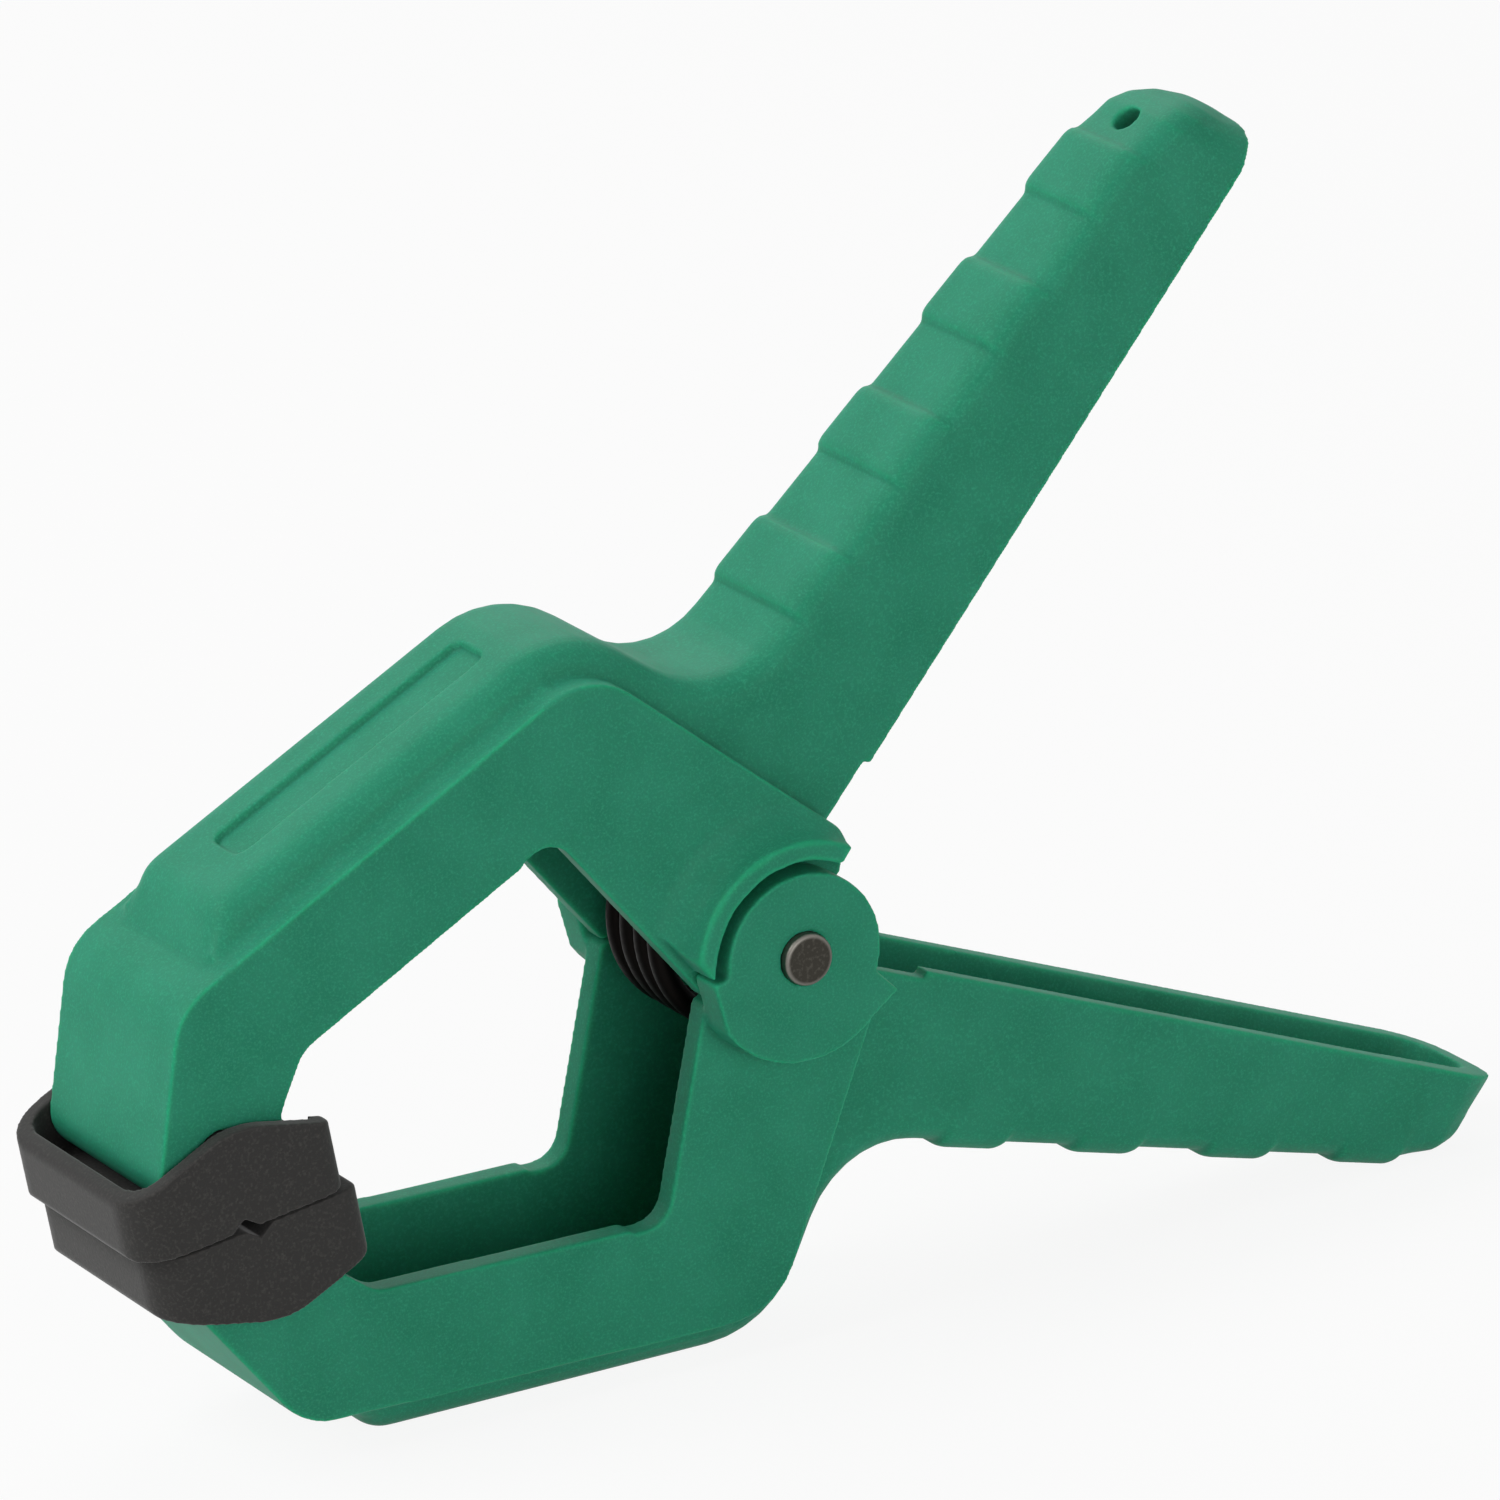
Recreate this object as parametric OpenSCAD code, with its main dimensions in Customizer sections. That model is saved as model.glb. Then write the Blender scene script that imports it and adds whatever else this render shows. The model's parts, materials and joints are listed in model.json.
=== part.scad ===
// Spring clamp: two moulded levers on a steel pin, a torsion spring that shuts them,
// and two jaw pads that swivel. Lengths are in millimetres, angles in degrees.
// A lever is drawn in its own plane: X runs to the handles, Y away from the line on
// which the jaws meet, Z across the clamp, and the pivot is the origin. A straight
// edge there is a line [slope, distance from the pivot].

/* [Jaw arms] */
// Overall width of a jaw arm
arm_width = 26.5; // [25:0.5:30]
// Slope of an arm's back against the line on which the jaws meet
arm_slope = 14.5; // [13:0.5:16]
// Distance of an arm's back from the pivot
arm_height = 43.1; // [41:0.1:45]
// Depth of an arm, from its back to its open edge
arm_depth = 13.9; // [12:0.1:15]
// Thickness of the moulded walls
wall = 3.2; // [2.6:0.1:3.3]
// Slope of the arm's rear edge, from its peak down to the pivot
rear_slope = -53.3; // [-56:0.1:-50]
// Distance of that rear edge from the pivot
rear_reach = 14.3; // [14.2:0.1:16]
// Slope of the throat's rear edge
throat_slope = -62.4; // [-65:0.1:-60]
// Distance of the throat's rear edge from the pivot
throat_reach = 8.7; // [8.4:0.1:9.2]
// Slope of an arm's front face
front_slope = 66; // [63:0.5:68]
// Distance of that front face from the swivel of the pad
front_depth = 7.2; // [6.8:0.1:7.6]
// Radius of the arm's front corner
front_round = 8; // [5:0.5:9]
// Radius of the arm's peak
peak_round = 9; // [6:0.5:11]
// Height of the step in the open edge of an arm
lip = 0.4; // [0.2:0.1:0.8]
// Distance of that step from the pivot, along the edge
lip_reach = 20.3; // [16:0.1:30]

/* [Spine and handle] */
// Width of the spine and of the handle where it starts
spine_width = 20.2; // [19.4:0.1:20.8]
// Slope of the spine
spine_slope = 13.8; // [13:0.1:15]
// Distance of the spine from the pivot
spine_height = 47; // [46:0.1:49]
// Slope of the ramp at the spine's front
ramp_slope = 57; // [50:1:65]
// Distance of that ramp from the pivot
ramp_reach = 69.4; // [67:0.1:70.5]
// Rounding of the spine's and the handle's long edges
spine_round = 3.2; // [2:0.1:3.4]
// Radius of the fillet between the spine and the arm's shoulders
shoulder_fillet = 2; // [1:0.1:2.1]
// Radius of the crest between the spine and the saddle
crest_round = 13; // [10:0.5:14]
// Distance of the saddle's front slope from the pivot
saddle_reach = 19.9; // [19:0.1:22]
// Radius of the saddle, where the hand rests behind the arm
saddle_round = 11.5; // [9:0.5:13]
// Slope of the handle's open edge
handle_slope = 35.5; // [34:0.5:37]
// Distance of the handle's open edge from the pivot
handle_offset = 0.45; // [0.4:0.05:1]
// Distance from the pivot at which the handle's walls begin
heel_reach = 13; // [12.8:0.1:15]
// Depth of the step in the handle's open edge
heel_step = 0.9; // [0.5:0.1:1.1]
// Distance of that step from the pivot, along the edge
step_reach = 22.2; // [18:0.1:26]
// Width of the handle at its open edge
open_width = 19; // [18.6:0.1:19.6]
// Slope of the grip, which the fingers hold
grip_slope = 29.2; // [28.5:0.1:30.5]
// Distance of the grip from the pivot
grip_reach = 22.8; // [22:0.1:24]
// Width of the grip at its last finger pad
grip_end_width = 15.4; // [14.4:0.1:18]
// Thickness of the handle's walls
handle_wall = 2.8; // [2.4:0.1:3]
// Number of raised finger pads on a grip
grip_count = 4; // [3:1:5]
// Start of the first finger pad, from the pivot along the grip
grip_start = 28.3; // [28:0.1:31]
// Distance from one finger pad to the next
grip_pitch = 18.5; // [15:0.1:20]
// Length of a finger pad
grip_length = 9.2; // [7:0.1:10]
// Height of a finger pad
grip_step = 0.9; // [0.5:0.1:1.2]
// Length of the handle past its last finger pad
tip_length = 9.9; // [8.5:0.1:14]
// Depth by which the handle's end lies under the grip
tip_drop = 0.6; // [0.4:0.1:1]
// Radius of the handle's end, seen from the side
tip_round = 7.5; // [6:0.5:8]
// Radius of the corners of the handle's end, seen from above
end_round = 6; // [4:0.5:6]
// Radius of the hanging hole in the end of a handle
hang_hole_r = 1.65; // [1.2:0.05:2]
// Distance of the hanging hole from the last finger pad
hang_hole_offset = 3.4; // [3:0.1:5]

/* [Label recess] */
// Length of the bare recess on the spine
label_length = 35.5; // [20:0.5:37]
// Width of the recess
label_width = 6.6; // [4:0.2:8]
// Depth of the recess
label_depth = 0.5; // [0.3:0.1:0.8]
// Distance of the recess's middle from the pivot, along the spine
label_reach = 27; // [25:0.5:29]

/* [Pivot] */
// Radius of the pivot pin
pin_r = 3; // [2.5:0.1:3.5]
// Length by which the pin stands out of each ear
pin_proud = 1; // [0.5:0.1:1.5]
// Radial clearance of the pin in the upper lever
pin_clearance = 0.06; // [0.02:0.01:0.09]
// Thickness of the lower lever's outer ears
ear_thickness = 4.75; // [4:0.05:6]
// Radius of the round top of those ears
ear_r = 9.7; // [9:0.1:10]
// Radius of their lower part, which seats on the arm
ear_seat_r = 12.2; // [12:0.1:12.4]
// Radius of the upper lever's inner lugs
lug_r = 8.8; // [8:0.1:9]
// Clearance between the ears and the lugs, sideways and round them
ear_clearance = 0.3; // [0.2:0.05:0.4]
// Inner radius of the curved rim that shields the ears
rim_r = 11; // [10.9:0.1:11.4]
// Thickness of that rim
rim_thickness = 2.4; // [2:0.1:2.6]
// Radius of the fillet at the foot of the rim
rim_fillet = 4.4; // [3.5:0.1:4.6]
// Distance by which the rim's lower end stands back from the throat's edge
rim_setback = 1.2; // [1:0.1:1.6]
// Height of the rim's lower end over the pivot
rim_foot = 2.4; // [2.3:0.1:3]

/* [Spring] */
// Wire diameter of the torsion spring
wire_d = 2.6; // [2.2:0.1:2.6]
// Radius of the coil, to the middle of the wire
coil_r = 10.9; // [10.6:0.1:11.1]
// Climb of one curl of the coil
coil_pitch = 3.08; // [3.05:0.01:3.1]
// Number of windings, of which the legs' angles leave a part out
coil_windings = 4; // [3:1:4]
// Angle by which each leg spreads from its handle
leg_spread = 2.8; // [2.5:0.1:4]
// Space between a leg's end and the grip on which it pushes
leg_seat = 0.25; // [0.2:0.05:0.4]

/* [Jaw pads] */
// Length of a pad along the jaw
pad_length = 25.6; // [25:0.2:28]
// Thickness of a pad's walls
pad_wall = 2; // [1.6:0.1:2.4]
// Thickness of a pad's face
pad_floor = 2.2; // [1.8:0.1:2.4]
// Distance of a pad's swivel from its face
swivel_height = 8.6; // [8.4:0.1:9.2]
// Distance of the swivels from the clamp's pivot, along the jaws
swivel_reach = 70.4; // [70:0.1:72]
// Angle by which the closed pads are turned
pad_tilt = 5; // [0:0.5:6]
// Height of a pad's front wall
pad_front = 7.2; // [6:0.1:8]
// Height of a pad's sides at their rear ends
pad_heel = 8; // [7:0.1:8.6]
// Height of a pad's rear wall
pad_rear = 4; // [3:0.1:5]
// Height of a pad's ears over the swivel
pad_ear = 2.8; // [2.6:0.1:3.6]
// Radius of the studs on which a pad swivels
stud_r = 2.2; // [1.8:0.1:2.4]
// Clearance round the studs and beside the arm
pad_clearance = 0.35; // [0.3:0.05:0.4]
// Gap left between the closed pads
pad_gap = 0.16; // [0.16:0.01:0.2]
// Width of the groove across a pad's face
groove_width = 3.4; // [2:0.1:4]
// Depth of the groove
groove_depth = 1.3; // [0.8:0.1:1.4]

/* [Hidden] */
$fn = 64;
nylon_green = "#2d7d5c";
pad_black = "#323130";
steel_black = "#413c3c";
arc_step = 12;
crest_steps = 6;
tip_step = 18;
past = 20;

// Half widths and radii that several pieces share
arm_half = arm_width / 2;
channel_half = arm_half - wall;
spine_half = spine_width / 2;
open_half = open_width / 2;
grip_end_half = grip_end_width / 2;
groove_half = open_half - handle_wall;
ear_outside = arm_half + ear_thickness;
lug_outside = arm_half - ear_clearance;
lug_inside = groove_half + ear_clearance;
hub_r = lug_r + 0.2;
lug_gap_r = lug_r + 2 * ear_clearance;
shoulder_r = rim_r - 0.3;
pin_half = ear_outside + pin_proud;

// Angles round the pivot: the upper arm's shoulder, the gap to the lower arm, the rim
// before it is trimmed, and the places where an ear's seat and its beak start
shoulder_start = 28;
shoulder_end = 189;
shoulder_gap = 2.5;
rim_start = 40;
rim_end = 176;
seat_start = 52;
beak_start = 35;
seat_left = 0.8 - ear_seat_r;
seat_top = rim_foot - 0.5;
beak_tip = [9.9, 8.9];
beak_root = [5.3, 10.8];

// The swivel of a pad, and the foot of the arm that holds it inside the cup
swivel = [-swivel_reach, (swivel_height + pad_gap / 2) / cos(pad_tilt)];
foot_half = front_depth / sin(front_slope);
foot_drop = swivel_height - pad_floor - 0.95;
foot_round = foot_drop - 1;
foot_back = swivel + [foot_half, 0.8];

// Straight edges of a lever
back_line = [arm_slope, arm_height];
open_line = [arm_slope, arm_height - arm_depth];
rear_line = [rear_slope, rear_reach];
throat_line = [throat_slope, -throat_reach];
front_line = shifted(through(swivel, front_slope), front_depth);
foot_line = through(foot_back, 51);
spine_line = [spine_slope, spine_height];
ramp_line = [ramp_slope, ramp_reach];
saddle_line = [-50, saddle_reach];
handle_line = [handle_slope, handle_offset];
beak_line = [handle_slope, handle_offset + 1.75];
grip_line = [grip_slope, grip_reach];

// The corner between an arm's open edge and its throat
throat_corner = meet(shifted(open_line, lip), throat_line);

// The handle ends past its last finger pad
last_reach = grip_start + (grip_count - 1) * grip_pitch + grip_length;
handle_length = reach(handle_line, along(grip_line, last_reach)) + tip_length;

// Functions on lines and points
function unit(v) = v / norm(v);
function normal(line) = [-sin(line[0]), cos(line[0])];
function shifted(line, d) = [line[0], line[1] + d];
function through(p, slope) = [slope, p.y * cos(slope) - p.x * sin(slope)];
function along(line, s, lift = 0) = normal(line) * (line[1] + lift) + s * [cos(line[0]), sin(line[0])];
function reach(line, p) = p.x * cos(line[0]) + p.y * sin(line[0]);
function foot(line, p) = along(line, reach(line, p));
function meet(a, b) = [a[1] * cos(b[0]) - b[1] * cos(a[0]), a[1] * sin(b[0]) - b[1] * sin(a[0])]
    / sin(b[0] - a[0]);
function slope_between(a, b) = atan2(b.y - a.y, b.x - a.x);
function polar(r, a) = [r * cos(a), r * sin(a)];
function mix(a, b, t) = a + (b - a) * t;
function wrapped(a) = a > 180 ? a - 360 : a < -180 ? a + 360 : a;

// Points of the rounded corner p between its neighbours a and b
function corner(a, p, b, r, count = 0) = let (
    u = unit(a - p),
    v = unit(b - p),
    half = acos(u * v) / 2,
    centre = p + unit(u + v) * r / sin(half),
    start = p + u * r / tan(half) - centre,
    end = p + v * r / tan(half) - centre,
    first = atan2(start.y, start.x),
    sweep = wrapped(atan2(end.y, end.x) - first),
    steps = count > 0 ? count : max(2, ceil(abs(sweep) / arc_step)))
    [for (k = [0 : steps]) centre + polar(r, first + sweep * k / steps)];

// Closed outline through corners [[x, y], radius]
function outline(corners) = let (n = len(corners)) [
    for (i = [0 : n - 1])
        let (before = corners[(i + n - 1) % n][0], p = corners[i][0], after = corners[(i + 1) % n][0])
            each corners[i][1] > 0 ? corner(before, p, after, corners[i][1]) : [p]];

// An anticlockwise outline moved inwards by d
function inset(points, d) = let (n = len(points)) [
    for (i = [0 : n - 1])
        let (
            u = unit(points[i] - points[(i + n - 1) % n]),
            v = unit(points[(i + 1) % n] - points[i]))
            points[i] + [-u.y - v.y, u.x + v.x] * d / (1 + u * v)];

// A closed skin over rings of equally many points
module loft(rings) {
    n = len(rings[0]);
    m = len(rings);
    sides = [
        for (k = [0 : m - 2])
            for (i = [0 : n - 1])
                let (a = k * n + i, b = k * n + (i + 1) % n)
                    each [[a, b + n, b], [a, a + n, b + n]]];
    first_face = [for (i = [0 : n - 1]) i];
    last_face = [for (i = [n - 1 : -1 : 0]) (m - 1) * n + i];
    polyhedron(points = [for (r = rings) each r], faces = concat([first_face], sides, [last_face]), convexity = 10);
}

// A plate over an outline, from one height to another
module plate(points, low, high) {
    translate([0, 0, low])
        linear_extrude(high - low)
            polygon(points);
}

// A disc round the pivot's axis
module disc(r, low, high) {
    translate([0, 0, low])
        cylinder(r = r, h = high - low);
}

module both_sides() {
    children();
    mirror([0, 0, 1])
        children();
}

// Outline of a jaw arm; pivot_end holds its corners round the pivot
function arm_outline(pivot_end) = outline(concat(
    [
        [swivel + [-foot_half, -foot_drop], foot_round],
        [swivel + [foot_half, -foot_drop], foot_round],
        [foot_back, 2],
        [meet(foot_line, open_line), 4],
        [along(open_line, -lip_reach - 0.3), 0],
        [along(open_line, -lip_reach + 0.3, lip), 0],
        [throat_corner, 3.5],
    ],
    pivot_end,
    [
        [meet(rear_line, beak_line), 0.8],
        [meet(rear_line, back_line), peak_round],
        [meet(back_line, front_line), front_round],
        [swivel - [foot_half, 0], 3],
    ]));

// Space inside an arm, open towards the other arm
function arm_space() = outline([
    [[-swivel_reach - foot_half + wall, -past], 0],
    [meet(shifted(rear_line, -wall), [0, -past]), 0],
    [meet(shifted(rear_line, -wall), shifted(back_line, -wall)), peak_round - wall],
    [meet(shifted(front_line, -wall), shifted(back_line, -wall)), front_round - wall],
    [meet(shifted(front_line, -wall), [90, swivel_reach + foot_half - wall]), 0],
]);

// Cross-section from p to q: half width a at p and b at q, the corners at q rounded
function section(p, q, a, b, round_r) = let (
    e = unit(q - p),
    r = min(round_r, 0.9 * b, 0.9 * norm(q - p)),
    d = norm(q - p) - r,
    left = [for (t = [0 : 22.5 : 90]) [d + r * sin(t), r - b - r * cos(t)]],
    profile = concat([[0, -a]], left, [for (k = [4 : -1 : 0]) [left[k][0], -left[k][1]]], [[0, a]]))
    [for (c = profile) [p.x + e.x * c[0], p.y + e.y * c[0], c[1]]];

// Outer points of the spine's ramp, of its crest and of the saddle behind it, inset by d.
// The ramp starts above the seat line, inside the arm's back.
function ramp_points(d, seat) = let (ramp = shifted(ramp_line, -d), spine = shifted(spine_line, -d))
    let (low = meet(ramp, seat) + polar(1, ramp_slope))
        concat([low], corner(low, meet(ramp, spine), meet(spine, saddle_line), 4 - d / 2));

function crest_points(d) = let (spine = shifted(spine_line, -d), saddle = shifted(saddle_line, -d))
    corner(meet(ramp_line, spine), meet(spine, saddle), meet(saddle, grip_line), crest_round - d, crest_steps);

function saddle_points(d) = let (saddle = shifted(saddle_line, -d), grip = shifted(grip_line, -d))
    corner(meet(saddle, spine_line), meet(saddle, grip), along(grip, 2 * past), saddle_round + d);

// Stations [reach, lift] along the grip and over its finger pads
function pad_stations() = [
    for (k = [0 : grip_count - 1])
        let (start = grip_start + k * grip_pitch, end = start + grip_length)
            each [
                [start, 0], [start + 0.5, 0.75 * grip_step], [start + 1.4, grip_step],
                [end - 1.4, grip_step], [end - 0.5, 0.75 * grip_step], [end, 0]]];

// Half width of the grip at the given reach
function grip_half(s) = mix(spine_half, grip_end_half, (s - grip_start) / (last_reach - grip_start));

// Sections of the handle's rounded end, inset by d and reaching `under` its open edge
function end_sections(d, under) = let (
    side_r = tip_round - 0.8 * d,
    plan_r = end_round - 0.8 * d,
    end = handle_length - d)
    [for (t = [0 : tip_step : 90])
        let (
            u = end - side_r * (1 - sin(t)),
            v = tip_depth(u, d) - side_r * (1 - cos(t)),
            corner_u = max(0, u - end + plan_r),
            drop = plan_r - sqrt(max(0, pow(plan_r, 2) - pow(corner_u, 2))))
            section(along(handle_line, u, -under), along(handle_line, u, v),
                open_half - d - drop, grip_end_half - d - drop, max(0.6, spine_round - d))];

// Depth of the handle at the reach u near its end, inset by d
function tip_depth(u, d) = normal(handle_line) * meet(shifted(grip_line, -d - tip_drop), [handle_slope - 90, u])
    - handle_offset;

// The spine and the handle as one body, whose sections lean over from the ramp to the
// end. It stands in the arm's back and rear walls, `sink` below their surface.
function body_sections(d, sink, heel, under) = let (
    round_r = max(0.6, spine_round - d),
    seat = shifted(back_line, -sink),
    rear = shifted(rear_line, -sink),
    heel_point = along(handle_line, heel, -under),
    crest = crest_points(d),
    peak = corner(along(seat, -past), meet(seat, rear), heel_point, peak_round - sink, crest_steps),
    saddle = saddle_points(d),
    grip = d > 0 ? [[grip_start, 0], [last_reach, 0]] : pad_stations())
    concat(
        [for (q = ramp_points(d, seat)) section(foot(seat, q), q, spine_half - d, spine_half - d, round_r)],
        [for (k = [0 : crest_steps]) section(peak[k], crest[k], spine_half - d, spine_half - d, round_r)],
        [for (k = [0 : len(saddle) - 1])
            let (t = (k + 1) / len(saddle))
                section(mix(peak[crest_steps], heel_point, t), saddle[k], mix(spine_half, open_half, t) - d,
                    spine_half - d, round_r)],
        [for (g = grip)
            let (q = along(grip_line, g[0], g[1] - d), p = along(handle_line, reach(handle_line, q), -under))
                section(p, q, open_half - d, grip_half(g[0]) - d, round_r)],
        end_sections(d, under));

// The fillets on both sides of the spine
module shoulder_fillets() {
    start = reach(back_line, meet(ramp_line, back_line)) + 1;
    end = reach(back_line, meet(back_line, rear_line)) - peak_round / 2;
    both_sides()
        rotate([0, 0, arm_slope])
            translate([start, arm_height, spine_half])
                rotate([90, 0, 90])
                    linear_extrude(end - start)
                        difference() {
                            translate([-0.5, -0.5])
                                square(shoulder_fillet + 0.5);
                            translate([shoulder_fillet, shoulder_fillet])
                                circle(shoulder_fillet);
                        }
}

// The shallow recess along the top of the spine
module label_recess() {
    r = 1.5;
    rotate([0, 0, spine_slope])
        translate([-label_reach, spine_height - label_depth, 0])
            rotate([-90, 0, 0])
                linear_extrude(past)
                    union() {
                        square([label_length - 2 * r, label_width], center = true);
                        square([label_length, label_width - 2 * r], center = true);
                        for (x = [-1, 1], y = [-1, 1])
                            translate([x * (label_length / 2 - r), y * (label_width / 2 - r)])
                                circle(r);
                    }
}

// The stretch by the pivot where the handle's open edge lies lower
module heel_notch() {
    start = heel_reach - 1;
    plate([
        along(handle_line, start, -1),
        along(handle_line, step_reach, -1),
        along(handle_line, step_reach, heel_step),
        along(handle_line, start, heel_step),
    ], -past, past);
}

// The hole by which the clamp can hang, square to the grip
module hang_hole() {
    translate(along(grip_line, last_reach + hang_hole_offset, -handle_wall - 1))
        rotate([0, 0, grip_slope])
            rotate([-90, 0, 0])
                cylinder(r = hang_hole_r, h = handle_wall + 4);
}

// A hollow lever without its pivot
module lever_shell(pivot_end) {
    difference() {
        union() {
            difference() {
                plate(arm_outline(pivot_end), -arm_half, arm_half);
                plate(arm_space(), -channel_half, channel_half);
            }
            loft(body_sections(0, wall / 3, heel_reach, 0));
            shoulder_fillets();
        }
        loft(body_sections(handle_wall, wall + 1, rear_reach - wall - 1, 3));
        label_recess();
        heel_notch();
        hang_hole();
        both_sides()
            translate([swivel.x, swivel.y, channel_half - 1])
                cylinder(r = stud_r + pad_clearance, h = wall + 2);
    }
}

// Lower lever: its ears stand outside the upper lever's lugs and hold the pin
module lower_lever() {
    edge_angle = 360 - shoulder_end - shoulder_gap;
    color(nylon_green)
        standing()
            lower_side()
                difference() {
                    union() {
                        lever_shell([
                            [polar(shoulder_r + 0.6, edge_angle), 0],
                            [polar(lug_r / 2, edge_angle), 0],
                            [polar(lug_r / 2, rim_start), 0],
                        ]);
                        both_sides()
                            disc(ear_r, arm_half, ear_outside);
                        both_sides()
                            ear_seat();
                    }
                    both_sides()
                        disc(lug_gap_r, lug_inside - 0.6, arm_half);
                    disc(pin_r, -pin_half, pin_half);
                }
}

// The part of an ear that seats on the arm, with its pointed beak
module ear_seat() {
    intersection() {
        disc(ear_seat_r, arm_half, ear_outside);
        plate([
            [seat_left, -seat_top],
            [0, -seat_top],
            polar(past, seat_start),
            [past, past],
            [seat_left, past],
        ], arm_half, ear_outside);
    }
    plate([[0, 0], polar(ear_r, beak_start), beak_tip, beak_root], arm_half, ear_outside);
    intersection() {
        disc(ear_seat_r, arm_half - 1, arm_half + 1);
        plate([[0, 0], polar(past, 50), [0, past], polar(past, 160)], arm_half - 1, arm_half + 1);
    }
}

// Upper lever: its lugs turn on the pin between the ears, and a rim shields the ears.
// Inside the rim and under its lower end the arm is cut back, clear of the ears.
module upper_lever() {
    color(nylon_green)
        standing()
            upper_side()
                difference() {
                    union() {
                        lever_shell([
                            [polar(shoulder_r, shoulder_end), 0],
                            [[0, 0], 0],
                            [polar(shoulder_r, shoulder_start), 0],
                        ]);
                        both_sides()
                            disc(lug_r, channel_half, lug_outside);
                        both_sides()
                            disc(hub_r, lug_inside, channel_half);
                        both_sides()
                            ear_rim();
                    }
                    both_sides()
                        translate([0, 0, lug_outside])
                            linear_extrude(pin_half - lug_outside)
                                union() {
                                    circle(rim_r);
                                    translate([-past, -past])
                                        square([past, past + rim_foot]);
                                }
                    disc(pin_r + pin_clearance, -pin_half, pin_half);
                }
}

// The curved rim over an ear, with a wide fillet down to the arm
module ear_rim() {
    outer_r = rim_r + rim_thickness;
    base = arm_half - 1;
    fillet_foot = arm_half - 0.06;
    intersection() {
        rotate([0, 0, rim_start])
            rotate_extrude(angle = rim_end - rim_start)
                difference() {
                    translate([rim_r - 1, base])
                        square([rim_thickness + rim_fillet + 1, ear_outside - base]);
                    translate([outer_r + rim_fillet, fillet_foot + rim_fillet])
                        circle(rim_fillet);
                    translate([outer_r, fillet_foot + rim_fillet])
                        square([rim_fillet + 1, ear_thickness]);
                }
        plate(outline([
            [meet(rear_line, beak_line), 0.8],
            [meet(rear_line, back_line), 0],
            [throat_corner + [rim_setback, 0], 0],
            [polar(shoulder_r, shoulder_end) + [rim_setback, 0], 0],
            [along(beak_line, 0), 0],
        ]), base - 1, ear_outside + 1);
    }
}

// Pin: a plain steel rod with chamfered ends
module pivot_pin() {
    chamfer = 0.4;
    color(steel_black)
        standing()
            upper_side()
                union() {
                    disc(pin_r, chamfer - pin_half, pin_half - chamfer);
                    both_sides()
                        translate([0, 0, pin_half - chamfer])
                            cylinder(r1 = pin_r, r2 = pin_r - chamfer, h = chamfer);
                }
}

// Spring: the wire comes in along the lower leg, winds round the pivot, and leaves
// along the upper leg. Both legs press outwards on the floors of the handles.
leg_slope = handle_slope + leg_spread;
coil_sweep = 360 * coil_windings - 2 * (90 + leg_slope);
coil_half = coil_pitch * coil_sweep / 720;
curl_rings = 8;
coil_rings = ceil(coil_sweep / 360 * curl_rings);
leg_end = meet([leg_slope, coil_r + wire_d / 2], shifted(grip_line, -handle_wall - leg_seat));
leg_length = reach([leg_slope, 0], leg_end);
wire_sides = 6;

// Section of the wire at the point p and height z, in the plane of the direction a
function wire_section(p, z, a) = [
    for (k = [0 : wire_sides - 1])
        let (t = 360 * k / wire_sides, out = wire_d / 2 * cos(t))
            [p.x + out * cos(a), p.y + out * sin(a), z + wire_d / 2 * sin(t)]];

function coil_angle(k) = -90 - leg_slope - coil_sweep * k / coil_rings;

function coil_section(k) = wire_section(
    polar(coil_r, coil_angle(k)), coil_half * (1 - 2 * k / coil_rings), coil_angle(k));

function leg_section(side, s) = wire_section(
    along([side * leg_slope, side * coil_r], s), -side * coil_half, side * (90 + leg_slope));

function wire_sections() = concat(
    [leg_section(-1, leg_length), leg_section(-1, leg_length / 2)],
    [for (k = [0 : coil_rings]) coil_section(k)],
    [leg_section(1, leg_length / 2), leg_section(1, leg_length)]);

// Least distance between points of the wire that are at least half a curl apart
function least_gap(rings) = min([
    for (i = [0 : len(rings) - 1 - curl_rings / 2])
        for (j = [i + curl_rings / 2 : len(rings) - 1])
            for (p = rings[i], q = rings[j])
                norm(p - q)]);

module torsion_spring() {
    rings = wire_sections();
    echo(least_gap_between_curls = least_gap(rings));
    color(steel_black)
        standing()
            upper_side()
                loft(rings);
}

// Pads: a cup with ears at its sides; studs in the ears snap into the arm's foot
module jaw_pad(turn) {
    half = pad_length / 2;
    inner_half = arm_half + pad_clearance;
    outer_half = inner_half + pad_wall;
    top = swivel_height + pad_ear;
    crown_front = -0.6;
    crown_rear = 2.9;
    side = outline([
        [[-half, 0], 0.8],
        [[half, 0], 0.8],
        [[half, pad_heel], 1],
        [[crown_rear, top], 8],
        [[crown_front, top], 8],
        [[-half, pad_front], 1.2],
    ]);
    plan = outline([
        [[-half, -outer_half], 5],
        [[half, -outer_half], 2.5],
        [[half, outer_half], 2.5],
        [[-half, outer_half], 5],
    ]);
    translate([swivel.x, swivel.y, 0])
        rotate([0, 0, turn])
            translate([0, -swivel_height, 0])
                difference() {
                    union() {
                        difference() {
                            intersection() {
                                plate(side, -outer_half, outer_half);
                                rotate([-90, 0, 0])
                                    plate(plan, -1, top + 1);
                            }
                            rotate([-90, 0, 0])
                                plate(inset(plan, pad_wall), pad_floor, top + 1);
                            translate([half - pad_wall - 0.5, pad_rear, 1 - inner_half])
                                cube([pad_wall + 1, top, 2 * inner_half - 2]);
                        }
                        both_sides()
                            translate([0, swivel_height, channel_half + 0.3])
                                cylinder(r = stud_r, h = inner_half - channel_half + 0.5);
                    }
                    plate([[-groove_width / 2, -0.01], [groove_width / 2, -0.01], [0, groove_depth]], -past, past);
                }
}

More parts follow.
